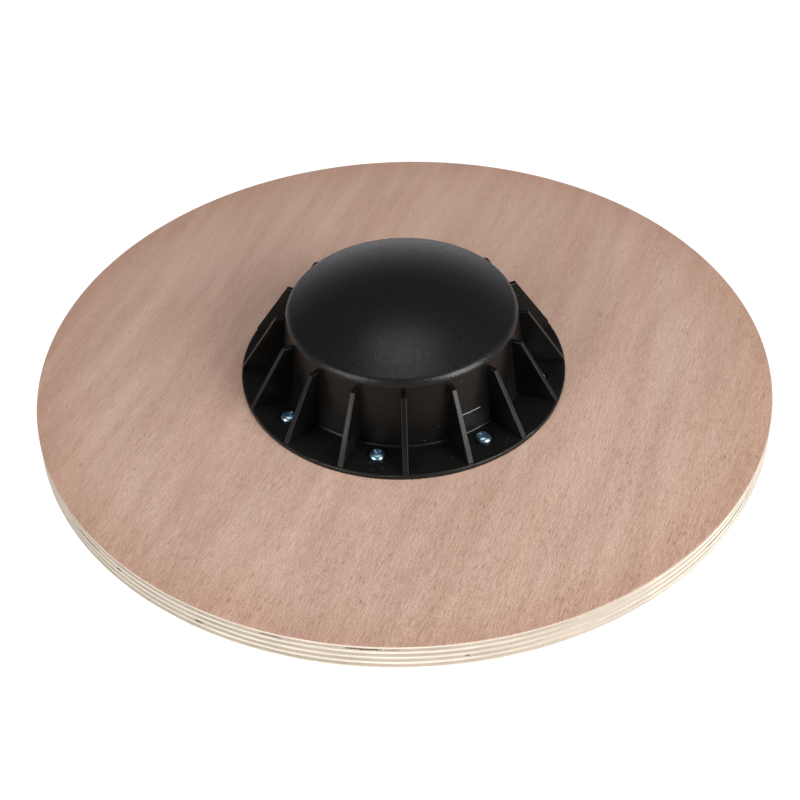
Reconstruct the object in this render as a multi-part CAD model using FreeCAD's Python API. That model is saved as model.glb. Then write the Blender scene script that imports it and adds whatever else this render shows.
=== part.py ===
import FreeCAD, Part
import math
import os

# Balance board: a round plywood deck with a domed plastic rocker base screwed to it.
# It lies upside down. Z = 0 is the face that the user stands on, and the dome points up.
# All sizes are in millimetres.

# Deck: the grain of every sheet crosses that of its neighbours, so the sheets look pale
# and dark in turn along the edge. The two outermost core plies are sanded thinner.
DECK_RADIUS = 200.0
DECK_EDGE_ROUND = 0.6
FACE_VENEER = 0.2
OUTER_PLY = 0.8
PALE_PLY = 1.4
DARK_PLY = 2.2
CORE_PLIES = 9

# Rocker base: heights are above the deck face that it is screwed to.
FLANGE_RADIUS = 88.6
FLANGE_THICKNESS = 2.5
FLANGE_EDGE_ROUND = 0.8
BASE_HEIGHT = 58.0
WALL_FOOT_RADIUS = 66.0
WALL_TOP_RADIUS = 62.4
WALL_THICKNESS = 3.0
WALL_FOOT_FILLET = 1.2
RIM_HEIGHT = 39.6
RIM_ROUND = 4.6
CAP_THICKNESS = 4.0

# Outside ribs, which taper in thickness towards the top so that the mould can open.
RIB_COUNT = 16
RIB_FIRST_ANGLE = -90.0
RIB_FOOT_THICKNESS = 3.2
RIB_TOP_THICKNESS = 2.7
RIB_EDGE_ROUND = 0.4
RIB_KNEE_RADIUS = 67.7
RIB_KNEE_HEIGHT = 37.2
RIB_END_RADIUS = 88.0
RIB_END_HEIGHT = 3.9
RIB_ROOT_DEPTH = 1.0

# Hidden underside: a centre tube and webs carry the load from the crown to the deck.
WEB_COUNT = 8
WEB_THICKNESS = 2.5
TUBE_RADIUS = 12.0
TUBE_WALL = 2.5

# Screws: one in the middle of every second bay between the ribs.
SCREW_COUNT = 8
SCREW_FIRST_ANGLE = -101.25
SCREW_CIRCLE_RADIUS = 73.8
SCREW_POINT_LENGTH = 3.0
SCREW_NECK_RADIUS = 1.7
SCREW_NECK_LENGTH = 2.0
THREAD_ROOT_RADIUS = 1.5
THREAD_CREST_RADIUS = 2.2
THREAD_PITCH = 1.75
THREAD_CREST_FLAT = 0.15
THREAD_TURNS = 4
HEAD_RADIUS = 4.4
HEAD_HEIGHT = 2.9
HEAD_BAND_HEIGHT = 0.9
CROSS_WIDTH = 1.1
CROSS_RADIUS = 2.5
CROSS_TIP_RADIUS = 0.6
CROSS_DEPTH = 2.1
CROSS_CORE_RADIUS = 1.0
SCREW_HOLE_RADIUS = 2.5
COUNTERBORE_RADIUS = 5.7
COUNTERBORE_DEPTH = 0.8

Z_AXIS = FreeCAD.Vector(0, 0, 1)
CENTRE = FreeCAD.Vector(0, 0, 0)


def ply_thickness(index):
    """Core plies are numbered from 1, at the standing face. Odd ones are the pale ones."""
    if index in (1, CORE_PLIES):
        return OUTER_PLY
    if index % 2 == 1:
        return PALE_PLY
    return DARK_PLY


DECK_THICKNESS = 2 * FACE_VENEER + sum(ply_thickness(i) for i in range(1, CORE_PLIES + 1))
SCREW_SEAT = FLANGE_THICKNESS - COUNTERBORE_DEPTH


def point(radius, height):
    """A point of a half-section, which lies in the XZ plane."""
    return FreeCAD.Vector(radius, 0, height)


def line(start, end):
    return Part.LineSegment(start, end).toShape()


def arc(centre, radius, start_angle, end_angle):
    """An arc of a half-section, with angles in degrees from the +X direction."""
    ends = []
    for angle in (start_angle, (start_angle + end_angle) / 2, end_angle):
        turn = math.radians(angle)
        ends.append(centre + point(radius * math.cos(turn), radius * math.sin(turn)))
    return Part.Arc(*ends).toShape()


def polyline(points):
    return [line(start, end) for start, end in zip(points, points[1:])]


def revolve(edges):
    """A solid of revolution about the Z axis from the edges of a closed half-section."""
    face = Part.Face(Part.Wire(edges))
    return face.revolve(CENTRE, Z_AXIS, 360)


def on_circle(shape, count, first_angle):
    """Copies of a shape, evenly spaced about the Z axis."""
    copies = []
    for index in range(count):
        copy = shape.copy()
        copy.rotate(CENTRE, Z_AXIS, first_angle + index * 360.0 / count)
        copies.append(copy)
    return copies


def raised(shape, height):
    copy = shape.copy()
    copy.translate(FreeCAD.Vector(0, 0, height))
    return copy


# ---------------------------------------------------------------- screws

def threaded_shank():
    """Neck, thread and point, hanging below Z = 0. The thread is modelled as ridges."""
    flank = (THREAD_PITCH - THREAD_CREST_FLAT) / 2
    outline = [point(0, 0), point(SCREW_NECK_RADIUS, 0), point(SCREW_NECK_RADIUS, -SCREW_NECK_LENGTH)]
    ridge_top = -SCREW_NECK_LENGTH
    for _ in range(THREAD_TURNS):
        outline.append(point(THREAD_ROOT_RADIUS, ridge_top))
        outline.append(point(THREAD_CREST_RADIUS, ridge_top - flank))
        outline.append(point(THREAD_CREST_RADIUS, ridge_top - flank - THREAD_CREST_FLAT))
        ridge_top -= THREAD_PITCH
    outline.append(point(THREAD_ROOT_RADIUS, ridge_top))
    outline.append(point(0, ridge_top - SCREW_POINT_LENGTH))
    outline.append(point(0, 0))
    return revolve(polyline(outline))


def cross_recess():
    """The tapered cross of the driver recess, sunk from the top of the head."""
    depth_point = HEAD_HEIGHT - CROSS_DEPTH
    taper = Part.makeCone(CROSS_TIP_RADIUS, CROSS_RADIUS, CROSS_DEPTH, point(0, depth_point))
    arms = []
    for size_x, size_y in ((2 * CROSS_RADIUS, CROSS_WIDTH), (CROSS_WIDTH, 2 * CROSS_RADIUS)):
        corner = FreeCAD.Vector(-size_x / 2, -size_y / 2, depth_point)
        arms.append(Part.makeBox(size_x, size_y, CROSS_DEPTH, corner))
    cross = arms[0].fuse(arms[1]).common(taper)
    core = Part.makeCone(CROSS_TIP_RADIUS, CROSS_CORE_RADIUS, CROSS_DEPTH, point(0, depth_point))
    return cross.fuse(core)


def screw_head():
    """A pan head: a short straight band, then a dome whose edge leans in by 60 degrees."""
    shoulder = point(HEAD_RADIUS, HEAD_BAND_HEIGHT)
    crown = point(0, HEAD_HEIGHT)
    bulge = point(HEAD_RADIUS * 0.80, HEAD_BAND_HEIGHT + (HEAD_HEIGHT - HEAD_BAND_HEIGHT) * 0.62)
    edges = polyline([crown, point(0, 0), point(HEAD_RADIUS, 0), shoulder])
    dome = Part.BSplineCurve()
    dome.interpolate(
        Points=[shoulder, bulge, crown],
        Tangents=[point(-0.35, 1.6), point(-1.0, 0.45), point(-3.0, 0)],
        TangentFlags=[True, True, True],
    )
    edges.append(dome.toShape())
    return revolve(edges).cut(cross_recess())


def screws():
    """All the screws, driven home: each head rests on the floor of its counterbore."""
    screw = screw_head().fuse(threaded_shank()).removeSplitter()
    screw.translate(FreeCAD.Vector(SCREW_CIRCLE_RADIUS, 0, DECK_THICKNESS + SCREW_SEAT))
    return Part.makeCompound(on_circle(screw, SCREW_COUNT, SCREW_FIRST_ANGLE))


# ---------------------------------------------------------------- plywood deck

def deck_blank():
    """The whole deck as one disc with its two edges sanded round."""
    side = DECK_RADIUS - DECK_EDGE_ROUND
    top = DECK_THICKNESS
    low_centre = point(side, DECK_EDGE_ROUND)
    high_centre = point(side, top - DECK_EDGE_ROUND)
    edges = polyline([point(0, top), point(0, 0), point(side, 0)])
    edges.append(arc(low_centre, DECK_EDGE_ROUND, -90, 0))
    edges.append(line(point(DECK_RADIUS, DECK_EDGE_ROUND), point(DECK_RADIUS, top - DECK_EDGE_ROUND)))
    edges.append(arc(high_centre, DECK_EDGE_ROUND, 0, 90))
    edges.append(line(point(side, top), point(0, top)))
    return revolve(edges)


def deck_sheets():
    """Every sheet of the plywood, from the standing face up, by name."""
    shank = threaded_shank()
    shank.translate(FreeCAD.Vector(SCREW_CIRCLE_RADIUS, 0, DECK_THICKNESS + SCREW_SEAT))
    drilled = deck_blank().cut(Part.makeCompound(on_circle(shank, SCREW_COUNT, SCREW_FIRST_ANGLE)))
    layers = [("standing_face_veneer", FACE_VENEER)]
    layers += [(f"core_ply_{i}", ply_thickness(i)) for i in range(1, CORE_PLIES + 1)]
    layers.append(("rocker_side_veneer", FACE_VENEER))
    sheets = {}
    bottom = 0.0
    for name, thickness in layers:
        layer = Part.makeCylinder(DECK_RADIUS + 1, thickness, point(0, bottom))
        sheets[name] = drilled.common(layer)
        bottom += thickness
    return sheets


# ---------------------------------------------------------------- rocker base

def cap_radius():
    """The sphere that passes through the crown and runs smoothly into the rim's round."""
    rise = BASE_HEIGHT - RIM_HEIGHT
    rim = WALL_TOP_RADIUS - RIM_ROUND
    return (rim ** 2 + rise ** 2 - RIM_ROUND ** 2) / (2 * (rise - RIM_ROUND))


def bell_outside():
    """Cap, wall and flange as one solid of revolution, still solid inside."""
    sphere = cap_radius()
    sphere_centre = point(0, BASE_HEIGHT - sphere)
    rim_centre = point(WALL_TOP_RADIUS - RIM_ROUND, RIM_HEIGHT)
    rim_angle = math.degrees(math.acos(rim_centre.x / (sphere - RIM_ROUND)))
    foot_centre = point(WALL_FOOT_RADIUS + WALL_FOOT_FILLET, FLANGE_THICKNESS + WALL_FOOT_FILLET)
    lip_centre = point(FLANGE_RADIUS - FLANGE_EDGE_ROUND, FLANGE_THICKNESS - FLANGE_EDGE_ROUND)
    edges = [
        arc(sphere_centre, sphere, 90, rim_angle),
        arc(rim_centre, RIM_ROUND, rim_angle, 0),
        line(point(WALL_TOP_RADIUS, RIM_HEIGHT), point(WALL_FOOT_RADIUS, foot_centre.z)),
        arc(foot_centre, WALL_FOOT_FILLET, 180, 270),
        line(point(foot_centre.x, FLANGE_THICKNESS), point(lip_centre.x, FLANGE_THICKNESS)),
        arc(lip_centre, FLANGE_EDGE_ROUND, 90, 0),
    ]
    edges += polyline([
        point(FLANGE_RADIUS, lip_centre.z),
        point(FLANGE_RADIUS, 0),
        point(0, 0),
        point(0, BASE_HEIGHT),
    ])
    return revolve(edges)


def bell_inside():
    """The hollow under the cap, open at the deck face."""
    sphere = cap_radius() - CAP_THICKNESS
    centre_height = BASE_HEIGHT - cap_radius()
    top_radius = WALL_TOP_RADIUS - WALL_THICKNESS
    foot_radius = WALL_FOOT_RADIUS - WALL_THICKNESS
    top_angle = math.degrees(math.acos(top_radius / sphere))
    top_height = centre_height + math.sqrt(sphere ** 2 - top_radius ** 2)
    edges = [arc(point(0, centre_height), sphere, 90, top_angle)]
    edges += polyline([
        point(top_radius, top_height),
        point(foot_radius, 0),
        point(0, 0),
        point(0, centre_height + sphere),
    ])
    return revolve(edges)


def hollows():
    """The hollow under the cap, divided by the centre tube and the radial webs."""
    tube = Part.makeCylinder(TUBE_RADIUS, BASE_HEIGHT)
    bore = Part.makeCylinder(TUBE_RADIUS - TUBE_WALL, BASE_HEIGHT)
    corner = FreeCAD.Vector(TUBE_RADIUS - TUBE_WALL / 2, -WEB_THICKNESS / 2, 0)
    web = Part.makeBox(WALL_FOOT_RADIUS, WEB_THICKNESS, BASE_HEIGHT, corner)
    frame = tube.cut(bore).multiFuse(on_circle(web, WEB_COUNT, RIB_FIRST_ANGLE))
    return bell_inside().cut(frame)


def rib():
    """One outside rib along +X: flat top, sloped edge and short upright end."""
    root_radius = WALL_TOP_RADIUS - RIB_ROOT_DEPTH
    root_height = FLANGE_THICKNESS - RIB_ROOT_DEPTH
    outline = [
        point(root_radius, root_height),
        point(RIB_END_RADIUS, root_height),
        point(RIB_END_RADIUS, RIB_END_HEIGHT),
        point(RIB_KNEE_RADIUS, RIB_KNEE_HEIGHT),
        point(root_radius, RIB_KNEE_HEIGHT),
        point(root_radius, root_height),
    ]
    face = Part.Face(Part.Wire(polyline(outline)))
    face.translate(FreeCAD.Vector(0, -RIB_FOOT_THICKNESS / 2, 0))
    slab = face.extrude(FreeCAD.Vector(0, RIB_FOOT_THICKNESS, 0))
    foot, top = RIB_FOOT_THICKNESS / 2, RIB_TOP_THICKNESS / 2
    section = [
        FreeCAD.Vector(root_radius, -foot, root_height),
        FreeCAD.Vector(root_radius, foot, root_height),
        FreeCAD.Vector(root_radius, top, RIB_KNEE_HEIGHT),
        FreeCAD.Vector(root_radius, -top, RIB_KNEE_HEIGHT),
        FreeCAD.Vector(root_radius, -foot, root_height),
    ]
    taper = Part.Face(Part.Wire(polyline(section))).extrude(FreeCAD.Vector(RIB_END_RADIUS, 0, 0))
    tapered = slab.common(taper)
    return tapered.makeFillet(RIB_EDGE_ROUND, rib_outer_edges(tapered, root_radius, root_height))


def rib_outer_edges(shape, root_radius, root_height):
    """The long edges along a rib's top, slope and end, which the mould leaves rounded."""
    chosen = []
    for edge in shape.Edges:
        ends = [vertex.Point for vertex in edge.Vertexes]
        across = abs(ends[0].y + ends[1].y) < abs(ends[0].y)
        at_root = all(abs(end.x - root_radius) < RIB_EDGE_ROUND for end in ends)
        at_foot = all(abs(end.z - root_height) < RIB_EDGE_ROUND for end in ends)
        if not (across or at_root or at_foot):
            chosen.append(edge)
    return chosen


def screw_seats():
    """What each screw takes out of the flange: a clearance hole and a shallow counterbore."""
    hole = Part.makeCylinder(SCREW_HOLE_RADIUS, FLANGE_THICKNESS)
    counterbore = Part.makeCylinder(COUNTERBORE_RADIUS, COUNTERBORE_DEPTH, point(0, SCREW_SEAT))
    seat = hole.fuse(counterbore)
    seat.translate(point(SCREW_CIRCLE_RADIUS, 0))
    return on_circle(seat, SCREW_COUNT, SCREW_FIRST_ANGLE)


def rocker_base():
    """The one-piece moulding that the board rocks on."""
    ribbed = bell_outside().multiFuse(on_circle(rib(), RIB_COUNT, RIB_FIRST_ANGLE))
    body = ribbed.cut(hollows()).cut(screw_seats())
    return raised(body.removeSplitter(), DECK_THICKNESS)


def save(name, shape):
    shape.exportStep(f"parts/{name}.step")
    box = shape.BoundBox
    print(f"{name}: solids {len(shape.Solids)}, valid {shape.isValid()}, "
          f"volume {shape.Volume / 1000:.2f} cm3, Z {box.ZMin:.2f} to {box.ZMax:.2f}")


os.makedirs("parts", exist_ok=True)
for sheet_name, sheet in deck_sheets().items():
    save(sheet_name, sheet)
save("rocker_base", rocker_base())
save("base_screws", screws())
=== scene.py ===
import bpy
import bmesh
import math
import random
from mathutils import Matrix, Vector, geometry, noise


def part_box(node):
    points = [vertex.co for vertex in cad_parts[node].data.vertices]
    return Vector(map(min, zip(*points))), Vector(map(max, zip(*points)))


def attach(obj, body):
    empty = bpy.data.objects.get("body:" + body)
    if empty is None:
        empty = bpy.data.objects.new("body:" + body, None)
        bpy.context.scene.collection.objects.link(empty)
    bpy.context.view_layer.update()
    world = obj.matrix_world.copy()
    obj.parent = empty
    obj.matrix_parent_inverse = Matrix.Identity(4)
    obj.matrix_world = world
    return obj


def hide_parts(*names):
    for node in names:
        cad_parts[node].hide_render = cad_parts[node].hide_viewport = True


# Balance board, lying upside down: plywood deck, moulded rocker base and its screws.
# Metres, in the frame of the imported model. The camera looks down along +Y.

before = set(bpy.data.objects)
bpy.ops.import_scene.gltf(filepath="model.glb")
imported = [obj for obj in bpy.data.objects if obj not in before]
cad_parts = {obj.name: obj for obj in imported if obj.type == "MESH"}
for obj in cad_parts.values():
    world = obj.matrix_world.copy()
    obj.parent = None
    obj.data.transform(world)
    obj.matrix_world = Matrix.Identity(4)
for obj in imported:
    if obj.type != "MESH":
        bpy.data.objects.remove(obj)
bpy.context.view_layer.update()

MM = 0.001
TURN = 2 * math.pi

# Deck
DECK_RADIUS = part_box("core_ply_5")[1].x
DECK_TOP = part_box("rocker_side_veneer")[1].z
CORE_PLIES = 9
FIRST_DRILLED_PLY = 4
ARRIS_ROUND = 0.6 * MM
GRAIN_ANGLE = math.radians(69)
GLUE_LINE_DEPTH = 0.03 * MM
GLUE_LINE_HALF_WIDTH = 0.02 * MM
THINNEST_GLUED_PLY = 0.5 * MM

# How closely spaced the roughness of the edge is, round the rim and up it
ROUGHNESS_ROUND = 240
ROUGHNESS_PER_MM = 1.6

# Each sheet of the deck starts its roughness this much further on in the noise than the last
SEED_STEP = 3.7

# How finely the deck's rim is divided
RIM_STEPS = 1440
FINE_STEP = 0.2 * MM
MOST_FINE_STEPS = 90
SMALLEST_STEP = 0.05 * MM

# Core gaps and small knots that open at the edge:
# ply, azimuth in degrees, then length, height, depth and distance above the ply's middle in mm.
EDGE_GAPS = [
    (2, -150.4, 4.0, 1.5, 2.2, 0.1),
    (6, -143.2, 23.0, 0.9, 1.6, 0.2),
    (6, -135.4, 5.0, 1.2, 2.2, -0.1),
    (4, -120.3, 4.6, 1.2, 2.0, 0.0),
    (8, -109.0, 12.0, 0.8, 1.2, 0.1),
    (8, -96.2, 18.0, 1.1, 2.2, 0.0),
    (8, -92.3, 8.0, 0.6, 0.8, 0.1),
    (4, -82.2, 2.2, 1.0, 1.4, 0.1),
    (5, -35.2, 60.0, 1.25, 3.0, 0.0),
    (4, -35.3, 6.0, 0.8, 1.4, -0.4),
    (4, 28.0, 16.0, 0.9, 1.6, 0.2),
    (8, 61.0, 5.0, 1.1, 1.8, 0.0),
    (6, 104.0, 21.0, 0.8, 1.4, 0.1),
    (2, 143.0, 7.0, 1.0, 1.8, -0.1),
]

# Outline of those gaps, in shares of a gap's half length and half height, with how often per
# radian of azimuth it varies and which slice of the noise it takes
GAP_REACH = 1.3
GAP_WANDER = 0.5
WANDER_RATE = 120
WANDER_SLICE = 7.7
RAGGED_RATE = 260
RAGGED_SLICE = 0.3
RAGGED_ENDS = 0.25
RAGGED_LIPS = 0.35
END_STEEPNESS = 2.2
LIP_STEEPNESS = 1.8

# Short pale line on the wall of the base
PALE_LINE_HEIGHT = DECK_TOP + 15.3 * MM
PALE_LINE_WIDTH = 0.3 * MM
PALE_LINE_ANGLE = math.radians(-58)
PALE_LINE_HALF_ANGLE = math.radians(6.5)

# Screws
SCREW_COUNT = 8
SCREW_FIRST_ANGLE = math.radians(-101.25)
SCREW_CIRCLE_RADIUS = 73.8 * MM
SCREW_SEAT = DECK_TOP + 1.7 * MM
SCREW_SEED = 11
PILOT_RADIUS = 2.0 * MM

# Screw heads
HEAD_RADIUS = 4.4 * MM
HEAD_BAND = 0.9 * MM
HEAD_HEIGHT = 2.9 * MM
HEAD_EDGE_ROUND = 0.15 * MM
HEAD_FULLNESS = 0.72
HEAD_DOME_STEPS = 14
HEAD_SIDES = 64

# Driver recess, at its floor and at its mouth
RECESS_DEPTH = 2.1 * MM
RECESS_CLEARANCE = 0.3 * MM
WING_FLOOR_REACH = 0.9 * MM
WING_MOUTH_REACH = 2.65 * MM
WING_FLOOR_HALF_WIDTH = 0.34 * MM
WING_MOUTH_HALF_WIDTH = 0.6 * MM
CORE_FLOOR_RADIUS = 0.62 * MM
CORE_MOUTH_RADIUS = 1.25 * MM
CORE_SIDES = 16

# Screw shanks
NECK_RADIUS = 1.7 * MM
NECK_LENGTH = 2.0 * MM
THREAD_ROOT = 1.5 * MM
THREAD_CREST = 2.2 * MM
THREAD_PITCH = 1.75 * MM
THREAD_NARROWNESS = 3.2
SHANK_LENGTH = 12.0 * MM
SHANK_SIDES = 24
SHANK_STEPS = 72
SHANK_OVERLAP = 0.4 * MM
POINT_LENGTH = 3.0 * MM
TIP_RADIUS = 0.06 * MM
TIP_LENGTH = 0.1 * MM

# Rocker base, for where its finish changes
RIM_LEVEL = DECK_TOP + 39.6 * MM
FLANGE_TOP = DECK_TOP + 2.5 * MM
WORN_RADIUS = 30 * MM
CRISP_RADIUS = 60 * MM


# ---------------------------------------------------------------- mesh helpers

def make_piece(name, verts, faces, sharp_angle=32):
    """A named object from points and faces, smooth except across edges over sharp_angle degrees."""
    mesh = bpy.data.meshes.new(name)
    mesh.from_pydata(verts, [], faces)
    mesh.validate()
    work = bmesh.new()
    work.from_mesh(mesh)
    bmesh.ops.recalc_face_normals(work, faces=work.faces)
    work.to_mesh(mesh)
    work.free()
    mesh.shade_smooth()
    mesh.set_sharp_from_angle(angle=math.radians(sharp_angle))
    piece = bpy.data.objects.new(name, mesh)
    bpy.context.scene.collection.objects.link(piece)
    return piece


def polar(radius, angle, height):
    return Vector((radius * math.cos(angle), radius * math.sin(angle), height))


def smooth_step(value):
    value = min(1.0, max(0.0, value))
    return value * value * (3 - 2 * value)


# ---------------------------------------------------------------- plywood

def edge_radius(height):
    """The deck's outline: upright, with both edges sanded round."""
    side = DECK_RADIUS - ARRIS_ROUND
    over = max(height - (DECK_TOP - ARRIS_ROUND), ARRIS_ROUND - height, 0.0)
    return side + math.sqrt(max(ARRIS_ROUND ** 2 - over ** 2, 0.0))


def rim_angles(gaps):
    """Even steps round the rim, with finer ones across each gap."""
    angles = {TURN * step / RIM_STEPS for step in range(RIM_STEPS)}
    for _, azimuth, length, _, _, _ in gaps:
        half = (length * MM / 2 + MM) / DECK_RADIUS
        steps = min(int(2 * half * DECK_RADIUS / FINE_STEP), MOST_FINE_STEPS)
        for step in range(steps + 1):
            angle = math.radians(azimuth) - half + 2 * half * step / steps
            angles.add(angle % TURN)
    ordered = sorted(angles)
    kept = [ordered[0]]
    for angle in ordered[1:]:
        if (angle - kept[-1]) * DECK_RADIUS > SMALLEST_STEP:
            kept.append(angle)
    return kept


def gap_depth(gap, angle, above_middle):
    """How deep one gap is at a place on the ply's edge; ragged, and deepest in its middle."""
    _, azimuth, length, height, depth, lift = gap
    turn = (angle - math.radians(azimuth) + math.pi) % TURN - math.pi
    along = turn * DECK_RADIUS / (length * MM / 2)
    if abs(along) > GAP_REACH:
        return 0.0
    ragged = noise.noise(Vector((angle * RAGGED_RATE, azimuth, RAGGED_SLICE)))
    across = (above_middle - lift * MM) / (height * MM / 2)
    across += GAP_WANDER * noise.noise(Vector((angle * WANDER_RATE, azimuth, WANDER_SLICE)))
    span = smooth_step((1 + RAGGED_ENDS * ragged - abs(along)) * END_STEEPNESS)
    mouth = smooth_step((1 + RAGGED_LIPS * ragged - abs(across)) * LIP_STEEPNESS)
    return depth * MM * span * mouth


def ply_surface(low, high, heights, recess, roughness, gaps, angles, seed):
    """The rings of points up a ply's edge, drawn in a little at the glue lines."""
    middle = (low + high) / 2
    has_glue_lines = high - low > THINNEST_GLUED_PLY
    points = []
    for height in heights:
        at_glue = min(height - low, high - height) < GLUE_LINE_HALF_WIDTH
        level = height / MM * ROUGHNESS_PER_MM + seed
        for angle in angles:
            radius = edge_radius(height) - recess
            if at_glue and has_glue_lines:
                radius -= GLUE_LINE_DEPTH
            place = Vector((math.cos(angle) * ROUGHNESS_ROUND, math.sin(angle) * ROUGHNESS_ROUND, level))
            radius -= roughness * (0.5 + noise.noise(place))
            for gap in gaps:
                radius -= gap_depth(gap, angle, height - middle)
            points.append(polar(radius, angle, height))
    return points


def pilot_circles(height, sides=20):
    """Where the screws' pilot holes cut one face of a ply."""
    circles = []
    for screw in range(SCREW_COUNT):
        centre = polar(SCREW_CIRCLE_RADIUS, SCREW_FIRST_ANGLE + TURN * screw / SCREW_COUNT, height)
        circle = [centre + polar(PILOT_RADIUS, TURN * side / sides, 0) for side in range(sides)]
        circles.append(circle)
    return circles


def build_ply(name, node, rings, recess, roughness, seed, drilled):
    """One sheet of the plywood: detailed edge, flat faces and, if drilled, the pilot holes."""
    low_corner, high_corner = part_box(node)
    low = low_corner.z
    high = high_corner.z
    number = int(node.rsplit("_", 1)[1]) if node.startswith("core_ply") else 0
    gaps = [gap for gap in EDGE_GAPS if gap[0] == number]
    angles = rim_angles(gaps)
    heights = [low + (high - low) * ring / rings for ring in range(rings + 1)]
    verts = ply_surface(low, high, heights, recess, roughness, gaps, angles, seed)
    steps = len(angles)
    faces = []
    for ring in range(rings):
        for step in range(steps):
            ahead = (step + 1) % steps
            below = ring * steps
            above = below + steps
            faces.append((below + step, below + ahead, above + ahead, above + step))
    loops = [list(range(steps)), list(range(rings * steps, (rings + 1) * steps))]
    holes = [[], []]
    if drilled:
        for level, height in enumerate((low, high)):
            for circle in pilot_circles(height):
                start = len(verts)
                verts.extend(circle)
                holes[level].append(list(range(start, start + len(circle))))
    for bottom, top in zip(holes[0], holes[1]):
        for side in range(len(bottom)):
            ahead = (side + 1) % len(bottom)
            faces.append((bottom[side], bottom[ahead], top[ahead], top[side]))
    for level in range(2):
        lines = [loops[level]] + holes[level]
        order = [index for line in lines for index in line]
        flat = [[Vector((verts[i].x, verts[i].y, 0)) for i in line] for line in lines]
        for corner in geometry.tessellate_polygon(flat):
            faces.append(tuple(order[c] for c in corner))
    return make_piece(name, verts, faces)


# ---------------------------------------------------------------- screws

def lathe(profile, sides):
    """Points and faces of a closed turned shape; the profile starts and ends on the axis."""
    verts = [Vector((0, 0, profile[0][1]))]
    for radius, height in profile[1:-1]:
        verts += [polar(radius, TURN * side / sides, height) for side in range(sides)]
    verts.append(Vector((0, 0, profile[-1][1])))
    last = len(verts) - 1
    faces = []
    for side in range(sides):
        ahead = (side + 1) % sides
        faces.append((0, 1 + ahead, 1 + side))
        for ring in range(len(profile) - 3):
            below = 1 + ring * sides
            above = below + sides
            faces.append((below + side, below + ahead, above + ahead, above + side))
        top = 1 + (len(profile) - 3) * sides
        faces.append((top + side, top + ahead, last))
    return verts, faces


def head_profile():
    """A pan head from its seat to its crown: small edge round, band, then an oval dome."""
    edge = HEAD_EDGE_ROUND
    profile = [(0, 0), (NECK_RADIUS, 0), (HEAD_RADIUS - edge, 0), (HEAD_RADIUS, edge)]
    profile.append((HEAD_RADIUS, HEAD_BAND - edge))
    for step in range(HEAD_DOME_STEPS):
        lean = math.pi / 2 * step / HEAD_DOME_STEPS
        radius = HEAD_RADIUS * math.cos(lean) ** HEAD_FULLNESS
        height = HEAD_BAND + (HEAD_HEIGHT - HEAD_BAND) * math.sin(lean)
        profile.append((radius, height))
    profile.append((0, HEAD_HEIGHT))
    return profile


def cross_cutter():
    """The driver recess: four tapered wings and a tapered core, sunk from the crown."""
    deep = HEAD_HEIGHT - RECESS_DEPTH
    high = HEAD_HEIGHT + RECESS_CLEARANCE
    wing_ends = [(WING_FLOOR_REACH, WING_FLOOR_HALF_WIDTH, deep),
                 (WING_MOUTH_REACH, WING_MOUTH_HALF_WIDTH, high)]
    wing_faces = [(3, 2, 1, 0), (4, 5, 6, 7), (0, 1, 5, 4), (1, 2, 6, 5), (2, 3, 7, 6), (3, 0, 4, 7)]
    verts = []
    faces = []
    for quarter in range(4):
        turn = Matrix.Rotation(quarter * TURN / 4, 3, "Z")
        start = len(verts)
        for reach, half, height in wing_ends:
            for x, y in ((0, -half), (reach, -half), (reach, half), (0, half)):
                verts.append(turn @ Vector((x, y, height)))
        for face in wing_faces:
            faces.append(tuple(start + corner for corner in face))
    core_profile = [(0, deep), (CORE_FLOOR_RADIUS, deep), (CORE_MOUTH_RADIUS, high), (0, high)]
    core, core_faces = lathe(core_profile, CORE_SIDES)
    start = len(verts)
    verts += core
    faces += [tuple(start + corner for corner in face) for face in core_faces]
    return verts, faces


def thread_rings():
    """Rings of a helical thread that fades out at the neck and at the point."""
    rings = []
    for step in range(SHANK_STEPS + 1):
        depth = SHANK_LENGTH * step / SHANK_STEPS
        to_tip = SHANK_LENGTH - depth
        core = THREAD_ROOT * min(1.0, to_tip / POINT_LENGTH)
        fade = smooth_step((depth - NECK_LENGTH) / MM) * smooth_step(to_tip / POINT_LENGTH)
        if depth < NECK_LENGTH:
            core = NECK_RADIUS
        ring = []
        for side in range(SHANK_SIDES):
            phase = (depth / THREAD_PITCH + side / SHANK_SIDES) % 1.0
            ridge = max(0.0, 1 - abs(phase - 0.5) * THREAD_NARROWNESS)
            radius = max(core + (THREAD_CREST - THREAD_ROOT) * ridge * fade, TIP_RADIUS)
            ring.append(polar(radius, TURN * side / SHANK_SIDES, -depth))
        rings.append(ring)
    return rings


def shank():
    """The threaded shank as a closed shape that reaches up into the head."""
    rings = thread_rings()
    verts = [Vector((0, 0, SHANK_OVERLAP))]
    verts += [Vector((point.x, point.y, SHANK_OVERLAP)) for point in rings[0]]
    for ring in rings:
        verts += ring
    verts.append(Vector((0, 0, -SHANK_LENGTH - TIP_LENGTH)))
    faces = []
    for side in range(SHANK_SIDES):
        ahead = (side + 1) % SHANK_SIDES
        faces.append((0, 1 + side, 1 + ahead))
        for ring in range(len(rings)):
            above = 1 + ring * SHANK_SIDES
            below = above + SHANK_SIDES
            faces.append((above + side, below + side, below + ahead, above + ahead))
        tip = 1 + len(rings) * SHANK_SIDES
        faces.append((tip + side, len(verts) - 1, tip + ahead))
    return verts, faces


def combine(piece, other, operation):
    """Cuts other away from piece or joins it on; other is used up."""
    tool = piece.modifiers.new("join", "BOOLEAN")
    tool.operation = operation
    tool.solver = "EXACT"
    tool.use_self = True
    tool.object = other
    depsgraph = bpy.context.evaluated_depsgraph_get()
    result = bpy.data.meshes.new_from_object(piece.evaluated_get(depsgraph))
    piece.modifiers.clear()
    piece.data = result
    bpy.data.objects.remove(other)


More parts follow.
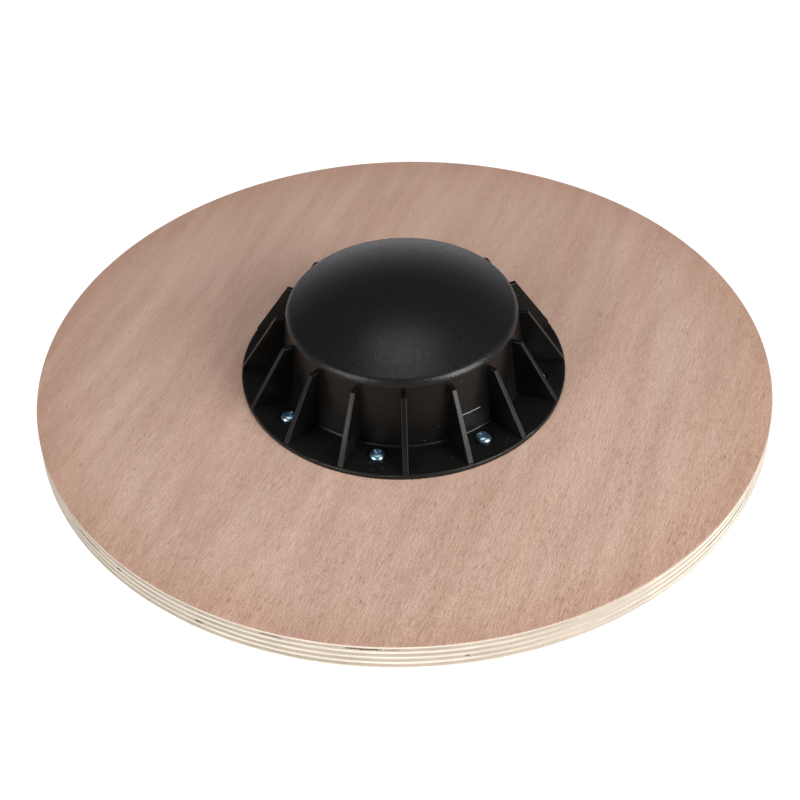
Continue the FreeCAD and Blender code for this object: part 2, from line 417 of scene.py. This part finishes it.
def build_screws():
    """One screw is made, then set round the circle, each turned its own way."""
    random.seed(SCREW_SEED)
    model = make_piece("screw_model", *lathe(head_profile(), HEAD_SIDES))
    combine(model, make_piece("cross_cutter", *cross_cutter()), "DIFFERENCE")
    combine(model, make_piece("shank_model", *shank()), "UNION")
    source = model.data
    verts = []
    faces = []
    for screw in range(SCREW_COUNT):
        angle = SCREW_FIRST_ANGLE + TURN * screw / SCREW_COUNT
        place = Matrix.Translation(polar(SCREW_CIRCLE_RADIUS, angle, SCREW_SEAT))
        place = place @ Matrix.Rotation(random.uniform(0, TURN / 4), 4, "Z")
        start = len(verts)
        verts += [place @ vertex.co for vertex in source.vertices]
        faces += [tuple(start + corner for corner in face.vertices) for face in source.polygons]
    bpy.data.objects.remove(model)
    return make_piece("base_screws_detailed", verts, faces, sharp_angle=40)


# ---------------------------------------------------------------- material helpers

class Shader:
    """A short way to write a material's nodes."""

    def __init__(self, name):
        self.material = bpy.data.materials.new(name)
        self.material.use_nodes = True
        self.tree = self.material.node_tree
        self.surface = self.tree.nodes["Principled BSDF"]

    def node(self, kind, settings=None, **inputs):
        """A new node; inputs are named by label, or by number as i0, i1 and so on."""
        node = self.tree.nodes.new("ShaderNode" + kind)
        for key, value in (settings or {}).items():
            setattr(node, key, value)
        for key, value in inputs.items():
            self.feed(node.inputs[self.socket(node, key)], value)
        return node

    def socket(self, node, key):
        """The number or label of the input that key stands for."""
        if key[:1] == "i" and key[1:].isdigit():
            return int(key[1:])
        return key.replace("_", " ")

    def feed(self, socket, value):
        """Links an output to an input, or sets the input to a plain value."""
        if isinstance(value, bpy.types.NodeSocket):
            self.tree.links.new(value, socket)
        else:
            socket.default_value = value

    def math(self, operation, first, second=0.0):
        return self.node("Math", {"operation": operation}, i0=first, i1=second).outputs[0]

    def times(self, *values):
        """The product of several values, taken from left to right."""
        product = values[0]
        for value in values[1:]:
            product = self.math("MULTIPLY", product, value)
        return product

    def vector(self, operation, *values):
        """A vector operation that gives one number, such as a length or a dot product."""
        inputs = {f"i{index}": value for index, value in enumerate(values)}
        return self.node("VectorMath", {"operation": operation}, **inputs).outputs["Value"]

    def here(self):
        """Object coordinates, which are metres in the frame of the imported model."""
        return self.node("TexCoord").outputs["Object"]

    def remap(self, value, low, high, new_low=0.0, new_high=1.0, smooth=True):
        """Takes low to new_low and high to new_high, and holds those values beyond them."""
        kind = "SMOOTHSTEP" if smooth else "LINEAR"
        settings = {"interpolation_type": kind}
        inputs = {"Value": value, "From_Min": low, "From_Max": high}
        inputs.update({"To_Min": new_low, "To_Max": new_high})
        return self.node("MapRange", settings, **inputs).outputs["Result"]

    def mix(self, factor, first, second, blend="MIX"):
        """A mix of colours; a Mix node's colour sockets are inputs 6 and 7 and output 2."""
        settings = {"data_type": "RGBA", "blend_type": blend}
        return self.node("Mix", settings, i0=factor, i6=first, i7=second).outputs[2]

    def place(self, scale, turn=0.0, shift=(0.0, 0.0, 0.0)):
        """Object coordinates, turned about Z and then stretched to scale cells per metre."""
        turned = self.node("Mapping", {"vector_type": "POINT"}, Vector=self.here())
        turned.inputs["Rotation"].default_value = (0, 0, turn)
        stretched = self.node("Mapping", {"vector_type": "POINT"}, Vector=turned.outputs[0])
        stretched.inputs["Scale"].default_value = scale
        stretched.inputs["Location"].default_value = shift
        return stretched.outputs[0]

    def noise(self, vector, scale=1.0, detail=2.0, roughness=0.5, distortion=0.0):
        """Noise about 0.5, nearly all of it between 0.3 and 0.7."""
        inputs = {"Vector": vector, "Scale": scale, "Detail": detail}
        inputs.update({"Roughness": roughness, "Distortion": distortion})
        return self.node("TexNoise", {"noise_dimensions": "3D"}, **inputs).outputs["Fac"]

    def even_noise(self, scale, detail=2.0, roughness=0.5):
        """Noise with no direction, scale cells per metre."""
        return self.noise(self.place((1, 1, 1)), scale, detail, roughness)

    def cells(self, vector, channel, scale=1.0):
        """Distance to the nearest cell's middle, and that cell's own random number."""
        node = self.node("TexVoronoi", {"feature": "F1"}, Vector=vector, Scale=scale)
        chance = self.node("SeparateColor", Color=node.outputs["Color"]).outputs[channel]
        return node.outputs["Distance"], chance

    def bump(self, height, strength, distance):
        bump = self.node("Bump", Height=height, Strength=strength, Distance=distance)
        self.tree.links.new(bump.outputs[0], self.surface.inputs["Normal"])

    def set(self, **inputs):
        """Values or links for the surface itself, with _ for each space in an input's name."""
        for key, value in inputs.items():
            self.feed(self.surface.inputs[key.replace("_", " ")], value)


def colour(red, green, blue):
    return (red, green, blue, 1.0)


def give(piece, material):
    piece.data.materials.clear()
    piece.data.materials.append(material)


# ---------------------------------------------------------------- materials

# Veneer: its two hues, the redder hue near the rim, and its grain patterns as cells per metre
# along the grain, across it and through the sheet
VENEER_PINK = colour(0.588, 0.394, 0.308)
VENEER_TAN = colour(0.578, 0.398, 0.313)
VENEER_RIM = colour(0.530, 0.334, 0.251)
RIM_FADE_START = DECK_RADIUS - 7 * MM
RIM_FADE_END = DECK_RADIUS + 29 * MM
RIM_FADE_WANDER = 50 * MM
CLOUD_CELLS = (5, 30, 1)
FIGURE_CELLS = (11, 100, 1)
HUE_CELLS = (9, 45, 1)
FIBRE_CELLS = (120, 1500, 1)
SANDING_CELLS = (800, 1500, 1)
PORE_CELLS = (150, 1600, 1)
PORE_PATCH_CELLS = (25, 60, 1)

# Where the wood is darker it is redder too: shares of the change in red, green and blue
DARKENING_SHARES = (0.86, 1.08, 1.22)

# The fine grain's contrast, in colour and in relief, is stronger towards the front right of the deck
# than towards the back left
GRAIN_CONTRAST_DIRECTION = (0.7, -2.2, 0.0)
GRAIN_CONTRAST_REACH = 0.45
WEAKEST_GRAIN_CONTRAST = 0.32
STRONGEST_GRAIN_CONTRAST = 1.24

# Ply edges: wood along the grain and across it, and painted shade in the gaps, which darkens them
# between two radii
PALE_WOOD = colour(0.755, 0.692, 0.585)
DARK_WOOD = colour(0.475, 0.390, 0.308)
TAN_WOOD = colour(0.508, 0.420, 0.331)
PAINTED_GAP_SHADE = colour(0.055, 0.040, 0.028)
GAP_DEEP = DECK_RADIUS - 0.9 * MM
GAP_SHALLOW = DECK_RADIUS - 0.16 * MM

# Their grain patterns, as cells per metre along X, Y and Z
EDGE_FIBRE_CELLS = (70, 70, 2400)
EDGE_PORE_CELLS = (1500, 1500, 1100)
EDGE_PATCH_CELLS = (45, 45, 160)

# Plastic. It is divided into DUST_CELLS per metre, and all but CLEAN_SHARE of them hold a speck.
WALL_BLACK = colour(0.0018, 0.0019, 0.0017)
CAP_BLACK = colour(0.0090, 0.0090, 0.0091)
FLANGE_BLACK = colour(0.0052, 0.0054, 0.0049)
# Grey of the dust specks, also used for the short pale line on the wall
SPECK_AND_LINE_GREY = colour(0.45, 0.43, 0.40)
DUST_CELLS = 400
CLEAN_SHARE = 0.93
WALL_DUST = 0.42
CAP_DUST = 0.05
FOOT_DULLNESS = 0.13

# Zinc and ground
ZINC_DEEP_BLUE = colour(0.32, 0.57, 0.79)
ZINC_PALE_BLUE = colour(0.62, 0.78, 0.89)
TOOL_MARK_CELLS = (900, 900, 3000)
FLOOR_DARKER = colour(0.24, 0.24, 0.24)
FLOOR_PALER = colour(0.26, 0.26, 0.26)
FLOOR_GLOW = 0.92


def veneer_pores(make, turn, shift):
    """Short fine pores along the grain, 1 in the middle of a pore; they gather in patches."""
    patches = make.noise(make.place(PORE_PATCH_CELLS, turn, shift), detail=2)
    near, chance = make.cells(make.place(PORE_CELLS, turn, shift), channel=0)
    pore = make.remap(near, 0.12, 0.40, 1.0, 0.0)
    open_share = make.remap(chance, 0.25, 0.8)
    return make.times(pore, open_share, make.remap(patches, 0.40, 0.60, 0.15, 1.0))


def veneer_material(name, shift):
    """Pinkish-brown veneer: soft figure, short fibres and fine pores along the grain."""
    make = Shader(name)
    turn = -GRAIN_ANGLE
    here = make.here()
    clouds = make.noise(make.place(CLOUD_CELLS, turn, shift), detail=3, distortion=0.5)
    figure = make.noise(make.place(FIGURE_CELLS, turn, shift), detail=2, roughness=0.6)
    hue = make.noise(make.place(HUE_CELLS, turn, (shift[0] + 3, shift[1], 0)), detail=2)
    fibres = make.noise(make.place(FIBRE_CELLS, turn, shift), detail=2, roughness=0.7)
    sanding = make.noise(make.place(SANDING_CELLS, turn, shift), detail=1)
    pore = veneer_pores(make, turn, shift)

    # Hue, and how it changes near the rim
    base = make.mix(make.remap(hue, 0.32, 0.68), VENEER_PINK, VENEER_TAN)
    reach = make.math("ADD", make.vector("LENGTH", here), make.times(clouds, RIM_FADE_WANDER))
    near_rim = make.remap(reach, RIM_FADE_START, RIM_FADE_END)
    base = make.mix(near_rim, base, VENEER_RIM)

    # Light and dark, from broad clouds down to single pores
    broad = make.times(make.remap(clouds, 0.30, 0.70, 0.945, 1.055),
                       make.remap(figure, 0.30, 0.70, 0.93, 1.07))
    fine = make.times(make.remap(fibres, 0.32, 0.68, 0.87, 1.13),
                      make.remap(sanding, 0.30, 0.70, 0.90, 1.10),
                      make.remap(pore, 0.0, 1.0, 1.0, 0.58, smooth=False))
    slope = make.vector("DOT_PRODUCT", here, GRAIN_CONTRAST_DIRECTION)
    grain_contrast = make.remap(slope, -GRAIN_CONTRAST_REACH, GRAIN_CONTRAST_REACH, WEAKEST_GRAIN_CONTRAST, STRONGEST_GRAIN_CONTRAST, smooth=False)
    fine = make.math("ADD", make.times(make.math("SUBTRACT", fine, 1.0), grain_contrast), 1.0)
    change = make.math("SUBTRACT", make.times(broad, fine), 1.0)
    red, green, blue = [make.math("ADD", make.times(change, share), 1.0) for share in DARKENING_SHARES]
    grain = make.node("CombineColor", Red=red, Green=green, Blue=blue).outputs[0]

    make.set(Base_Color=make.mix(1.0, base, grain, "MULTIPLY"))
    make.set(Roughness=make.remap(fibres, 0.3, 0.7, 0.50, 0.62))
    make.set(IOR=1.45, Specular_IOR_Level=0.35)
    relief = make.math("SUBTRACT", make.times(fibres, 0.35), pore)
    make.bump(make.times(relief, grain_contrast), 0.3, 0.08 * MM)
    return make.material


def edge_material(name, grain_angle, long_grain, end_grain, shift):
    """The sanded edge of a ply: pale along its grain, darker and porous where cut across it."""
    make = Shader(name)
    parts = make.node("SeparateXYZ", Vector=make.here())
    flat = make.node("CombineXYZ", X=parts.outputs[0], Y=parts.outputs[1]).outputs[0]
    out = make.node("VectorMath", {"operation": "NORMALIZE"}, i0=flat).outputs[0]
    grain = (math.cos(grain_angle), math.sin(grain_angle), 0)
    end = make.remap(make.math("ABSOLUTE", make.vector("DOT_PRODUCT", out, grain)), 0.30, 0.90)
    base = make.mix(end, long_grain, end_grain)

    fibres = make.noise(make.place(EDGE_FIBRE_CELLS, 0, shift), detail=3, roughness=0.65)
    pores = make.noise(make.place(EDGE_PORE_CELLS, 0, shift), detail=2, roughness=0.6)
    patches = make.noise(make.place(EDGE_PATCH_CELLS, 0, shift), detail=3)
    dark_pores = make.times(make.remap(pores, 0.52, 0.72), end)
    shade = make.times(make.remap(patches, 0.3, 0.7, 0.90, 1.06),
                       make.remap(fibres, 0.3, 0.7, 0.88, 1.06),
                       make.remap(dark_pores, 0, 1, 1.0, 0.72, smooth=False))
    grey = make.node("CombineColor", Red=shade, Green=shade, Blue=shade).outputs[0]
    wood = make.mix(1.0, base, grey, "MULTIPLY")
    # Painted shade: the edge's colour darkens towards the bottom of each gap, in place of the shade
    # inside it
    gap_shade_mask = make.remap(make.vector("LENGTH", flat), GAP_DEEP, GAP_SHALLOW, 1.0, 0.0)

    make.set(Base_Color=make.mix(gap_shade_mask, wood, PAINTED_GAP_SHADE), Roughness=0.62)
    make.set(Specular_IOR_Level=0.3)
    make.bump(make.math("SUBTRACT", make.times(fibres, 0.5), dark_pores), 0.4, 0.08 * MM)
    return make.material


def pale_wall_line(make, here):
    """A short pale line that runs level round the wall, beside a rib."""
    parts = make.node("SeparateXYZ", Vector=here).outputs
    off_level = make.math("ABSOLUTE", make.math("SUBTRACT", parts[2], PALE_LINE_HEIGHT))
    azimuth = make.math("ARCTAN2", parts[1], parts[0])
    off_middle = make.math("ABSOLUTE", make.math("SUBTRACT", azimuth, PALE_LINE_ANGLE))
    line = make.remap(off_level, 0.5 * PALE_LINE_WIDTH, PALE_LINE_WIDTH, 1.0, 0.0)
    run = make.remap(off_middle, 0.7 * PALE_LINE_HALF_ANGLE, PALE_LINE_HALF_ANGLE, 1.0, 0.0)
    return make.times(line, run)


def plastic_finish(make, height, cap, mottle):
    """Roughness: finely mottled on the cap, broader on the walls, and duller at their foot."""
    ripple = make.even_noise(90)
    wall = make.remap(ripple, 0.3, 0.7, 0.31, 0.38)
    grained = make.remap(mottle, 0.3, 0.7, 0.26, 0.35)
    finish = make.math("ADD", wall, make.times(cap, make.math("SUBTRACT", grained, wall)))
    fading_up = make.remap(height, FLANGE_TOP + 4 * MM, FLANGE_TOP + 20 * MM, FOOT_DULLNESS, 0.0)
    off_flange = make.remap(height, FLANGE_TOP + 1.2 * MM, FLANGE_TOP + 2.5 * MM)
    return make.math("ADD", finish, make.times(fading_up, off_flange))


def plastic_specks_and_line(make, here, cap):
    """Single specks of dust, faint on the cap, together with the short pale line on the wall."""
    near, chance = make.cells(make.place((1, 1, 1)), channel=1, scale=DUST_CELLS)
    speck = make.times(make.remap(near, 0.07, 0.13, 1.0, 0.0),
                       make.math("GREATER_THAN", chance, CLEAN_SHARE),
                       make.remap(cap, 0, 1, WALL_DUST, CAP_DUST, smooth=False))
    return make.math("MAXIMUM", speck, pale_wall_line(make, here))


def plastic_relief(make, here, cap, mottle):
    """Leathery grain on the cap, crisp near its rim and worn soft towards the crown."""
    grain = make.even_noise(1500, detail=3, roughness=0.6)
    leather = make.even_noise(900, detail=1)
    flat = make.node("VectorMath", {"operation": "MULTIPLY"}, i0=here, i1=(1.0, 1.0, 0.0)).outputs[0]
    crisp = make.remap(make.vector("LENGTH", flat), WORN_RADIUS, CRISP_RADIUS, 0.3, 6.0)
    relief = make.math("ADD", make.math("ADD", grain, mottle), make.times(leather, crisp))
    return make.times(relief, make.remap(cap, 0, 1, 0.10, 1.0, smooth=False))


def plastic_material():
    """Black moulding: leathery grain on the cap, plainer walls and ribs, a few specks of dust."""
    make = Shader("black_plastic")
    here = make.here()
    height = make.node("SeparateXYZ", Vector=here).outputs[2]
    cap = make.remap(height, RIM_LEVEL - 0.1 * MM, RIM_LEVEL + 0.2 * MM)
    flange = make.remap(height, FLANGE_TOP + 0.1 * MM, FLANGE_TOP + 0.9 * MM, 1.0, 0.0)
    mottle = make.even_noise(420, detail=3, roughness=0.6)
    black = make.mix(cap, WALL_BLACK, CAP_BLACK)
    black = make.mix(flange, black, FLANGE_BLACK)
    make.set(Base_Color=make.mix(plastic_specks_and_line(make, here, cap), black, SPECK_AND_LINE_GREY))
    make.set(Roughness=plastic_finish(make, height, cap, mottle))
    make.set(IOR=1.46, Specular_IOR_Level=0.42)
    make.bump(plastic_relief(make, here, cap, mottle), 0.28, 0.06 * MM)
    return make.material


def zinc_material():
    """Bright zinc plate with a bluish tint and light tool marks."""
    make = Shader("zinc_screws")
    tint = make.even_noise(420)
    marks = make.noise(make.place(TOOL_MARK_CELLS))
    make.set(Base_Color=make.mix(make.remap(tint, 0.35, 0.65), ZINC_DEEP_BLUE, ZINC_PALE_BLUE))
    make.set(Roughness=make.remap(marks, 0.3, 0.7, 0.24, 0.38), Metallic=1.0)
    make.bump(marks, 0.15, 0.03 * MM)
    return make.material


def floor_material():
    """Matt pale ground that glows a little of its own, so that it stays evenly pale."""
    make = Shader("studio_floor")
    tone = make.even_noise(3, detail=1)
    make.set(Base_Color=make.mix(tone, FLOOR_DARKER, FLOOR_PALER), Roughness=0.9)
    make.set(Emission_Color=colour(1, 1, 1), Emission_Strength=FLOOR_GLOW)
    make.set(Specular_IOR_Level=0.0)
    return make.material


# ---------------------------------------------------------------- pieces

def deck_sheets():
    """Each sheet from the standing face up: node, rings of points up its edge, how far the edge
    is drawn in, how rough it is, its material, its slot, and whether the screws reach it."""
    veneer = veneer_material("face_veneer", (0.0, 0.0, 0.0))
    back_veneer = veneer_material("standing_veneer", (7.0, 3.0, 0.0))
    along = GRAIN_ANGLE
    across = GRAIN_ANGLE + math.pi / 2
    pale_edge = edge_material("pale_ply_edge", across, PALE_WOOD, TAN_WOOD, (0, 0, 3))
    dark_edge = edge_material("dark_ply_edge", along, PALE_WOOD, DARK_WOOD, (5, 1, 0))
    sheets = [("standing_face_veneer", 3, 0.0, 0.01 * MM, back_veneer, "face_veneer", False)]
    for number in range(1, CORE_PLIES + 1):
        node = f"core_ply_{number}"
        drilled = number >= FIRST_DRILLED_PLY
        if number % 2:
            sheets.append((node, 6, 0.0, 0.02 * MM, pale_edge, "pale_ply", drilled))
        else:
            sheets.append((node, 10, 0.03 * MM, 0.05 * MM, dark_edge, "dark_ply", drilled))
    sheets.append(("rocker_side_veneer", 5, 0.0, 0.01 * MM, veneer, "face_veneer", True))
    return sheets


def build_deck():
    """All eleven sheets, each with its own roughness."""
    for number, (node, rings, recess, roughness, material, slot, drilled) in enumerate(deck_sheets()):
        seed = number * SEED_STEP
        piece = build_ply(node + "_sheet", node, rings, recess, roughness, seed, drilled)
        give(piece, material)
        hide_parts(node)
        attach(piece, "root")


def build_fasteners():
    piece = build_screws()
    give(piece, zinc_material())
    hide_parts("base_screws")
    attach(piece, "root")


def finish_base():
    give(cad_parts["rocker_base"], plastic_material())


# ---------------------------------------------------------------- studio

# Camera, aimed just above the middle of the standing face
CAMERA_DISTANCE = 984.4 * MM
CAMERA_ELEVATION = math.radians(41.31)
CAMERA_ROLL = math.radians(-1.73)
CAMERA_AZIMUTH = math.radians(0.34)
CAMERA_LENS = 79.82
CAMERA_SENSOR = 36
CAMERA_SHIFT = (-0.0051, -0.0172)
CAMERA_CLIP_START = 0.01
AIM_HEIGHT = 0.93 * MM

# Surround: its brightness at the horizon and overhead, the angles between which it fades from
# one to the other, and its share of that brightness in front and at the sides. It is at full
# brightness behind the board, where a direction's Y part is over BACK_START.
HORIZON_LIGHT = 0.72
CEILING_LIGHT = 0.05
FADE_START = math.radians(-4)
FADE_END = math.radians(33)
SIDE_SHARE = 0.45
SIDES_END = 0.1
BACK_START = 0.8
SURROUND_TINT = colour(0.97, 0.96, 1.03)

# Ground
FLOOR_HALF_SIZE = 6.0
FLOOR_LEVEL = -0.05 * MM

# Soft lights: name, azimuth and elevation in degrees, distance, width, height, radiance, tint,
# and whether it shows in reflections
NEUTRAL = (1, 1, 1)
WARM = (1.0, 0.86, 0.78)
SOFTBOXES = [
    ("left_softbox", -141, 25, 3.8, 2.1, 3.15, 3.6, NEUTRAL, True),
    ("right_softbox", -36, 25, 3.8, 2.1, 3.15, 8.2, NEUTRAL, True),
    ("overhead_softbox", 90, 84, 1.8, 0.83, 0.8, 1.75, NEUTRAL, True),
    ("soft_fill", 90, 78, 2.5, 2.4, 2.4, 0.57, WARM, False),
    ("edge_light", -128, 12, 3.5, 2.0, 1.2, 2.0, NEUTRAL, False),
]


def build_camera():
    turn = Matrix.Rotation(CAMERA_AZIMUTH, 3, "Z")
    back = turn @ Vector((0, -math.cos(CAMERA_ELEVATION), math.sin(CAMERA_ELEVATION)))
    level = turn @ Vector((1, 0, 0))
    upright = level.cross(-back)
    right = math.cos(CAMERA_ROLL) * level + math.sin(CAMERA_ROLL) * upright
    up = math.cos(CAMERA_ROLL) * upright - math.sin(CAMERA_ROLL) * level
    camera = bpy.data.objects.new("camera", bpy.data.cameras.new("camera"))
    bpy.context.scene.collection.objects.link(camera)
    pose = Matrix((right, up, back)).transposed().to_4x4()
    pose.translation = back * CAMERA_DISTANCE + Vector((0, 0, AIM_HEIGHT))
    camera.matrix_world = pose
    camera.data.sensor_width = CAMERA_SENSOR
    camera.data.lens = CAMERA_LENS
    camera.data.shift_x, camera.data.shift_y = CAMERA_SHIFT
    camera.data.clip_start = CAMERA_CLIP_START
    bpy.context.scene.camera = camera


def softbox(name, azimuth, elevation, distance, width, height, radiance, tint, mirrored):
    """An area light that faces the board; radiance is its brightness as seen from there."""
    light = bpy.data.lights.new(name, "AREA")
    light.shape = "RECTANGLE"
    light.size = width
    light.size_y = height
    light.energy = radiance * math.pi * width * height
    light.color = tint
    lamp = bpy.data.objects.new(name, light)
    bpy.context.scene.collection.objects.link(lamp)
    lift = math.radians(elevation)
    ground = distance * math.cos(lift)
    place = polar(ground, math.radians(azimuth), distance * math.sin(lift))
    lamp.location = place
    lamp.rotation_euler = place.to_track_quat("Z", "Y").to_euler()
    lamp.visible_camera = False
    lamp.visible_glossy = mirrored


def world_range(tree, value, low, high, new_low, new_high):
    """A Map Range node in the surround's nodes."""
    node = tree.nodes.new("ShaderNodeMapRange")
    labels = ("From Min", "From Max", "To Min", "To Max")
    for label, number in zip(labels, (low, high, new_low, new_high)):
        node.inputs[label].default_value = number
    tree.links.new(value, node.inputs["Value"])
    return node


def build_world():
    """The surround that the cap mirrors: pale near the horizon, dark further up."""
    world = bpy.data.worlds.new("studio")
    bpy.context.scene.world = world
    world.use_nodes = True
    tree = world.node_tree
    direction = tree.nodes.new("ShaderNodeTexCoord").outputs["Generated"]
    split = tree.nodes.new("ShaderNodeSeparateXYZ")
    tree.links.new(direction, split.inputs[0])
    _, back, up = split.outputs
    fade = world_range(tree, up, math.sin(FADE_START), math.sin(FADE_END), HORIZON_LIGHT, CEILING_LIGHT)
    fade.interpolation_type = "SMOOTHSTEP"
    behind = world_range(tree, back, SIDES_END, BACK_START, SIDE_SHARE, 1.0)
    strength = tree.nodes.new("ShaderNodeMath")
    strength.operation = "MULTIPLY"
    tree.links.new(fade.outputs[0], strength.inputs[0])
    tree.links.new(behind.outputs[0], strength.inputs[1])
    background = tree.nodes["Background"]
    tree.links.new(strength.outputs[0], background.inputs["Strength"])
    background.inputs["Color"].default_value = SURROUND_TINT


def build_floor():
    """The ground, which lights the board but doesn't show in reflections."""
    half = FLOOR_HALF_SIZE
    square = [(-half, -half), (half, -half), (half, half), (-half, half)]
    corners = [(x, y, FLOOR_LEVEL) for x, y in square]
    floor = make_piece("studio_floor", corners, [(0, 1, 2, 3)])
    give(floor, floor_material())
    floor.visible_glossy = False


def build_studio():
    build_camera()
    build_floor()
    build_world()
    for settings in SOFTBOXES:
        softbox(*settings)
    bpy.context.scene.view_settings.view_transform = "Standard"


# ---------------------------------------------------------------- build

build_deck()
build_fasteners()
finish_base()
build_studio()
